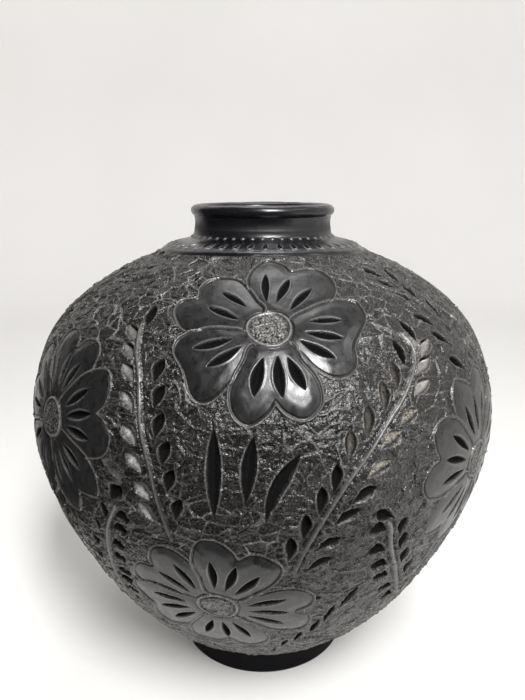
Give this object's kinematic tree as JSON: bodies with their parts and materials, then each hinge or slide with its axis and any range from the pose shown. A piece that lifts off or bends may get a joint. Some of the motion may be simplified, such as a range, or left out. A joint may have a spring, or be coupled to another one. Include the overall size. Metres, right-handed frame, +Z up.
{
  "type": "carved clay pot on ring stand",
  "caption": "Round-bellied black clay pot with carved flowers and leaf sprays, a short neck with a rolled rim, resting loose in a low clay ring stand.",
  "frame": {"origin": "on the floor, at the centre of the stand ring's flat underside, straight below the middle of the mouth", "axes": "+Z up along the pot's axis; -Y is the front, where the large flower below the collar is"},
  "size_m": [0.247, 0.2468, 0.255],
  "materials": {
    "carved_clay": "scraped and carved, with burnished flowers",
    "burnished_clay": "stone-burnished satin gloss",
    "stand_clay": "smooth matt"
  },
  "bodies": {
    "stand": {"stand_ring": "stand_clay"},
    "pot": {"base_bowl": "carved_clay", "lower_wall": "carved_clay", "flank_wall": "carved_clay", "belly_wall": "carved_clay", "shoulder_wall": "carved_clay", "upper_shoulder": "carved_clay", "collar": "burnished_clay", "neck": "burnished_clay", "rim_coil": "burnished_clay"}
  },
  "joints": [
    {"name": "pot_lift", "type": "slide", "parent": "stand", "child": "pot", "axis": [0, 0, 1], "range_m": [0, 0.06]}
  ]
}
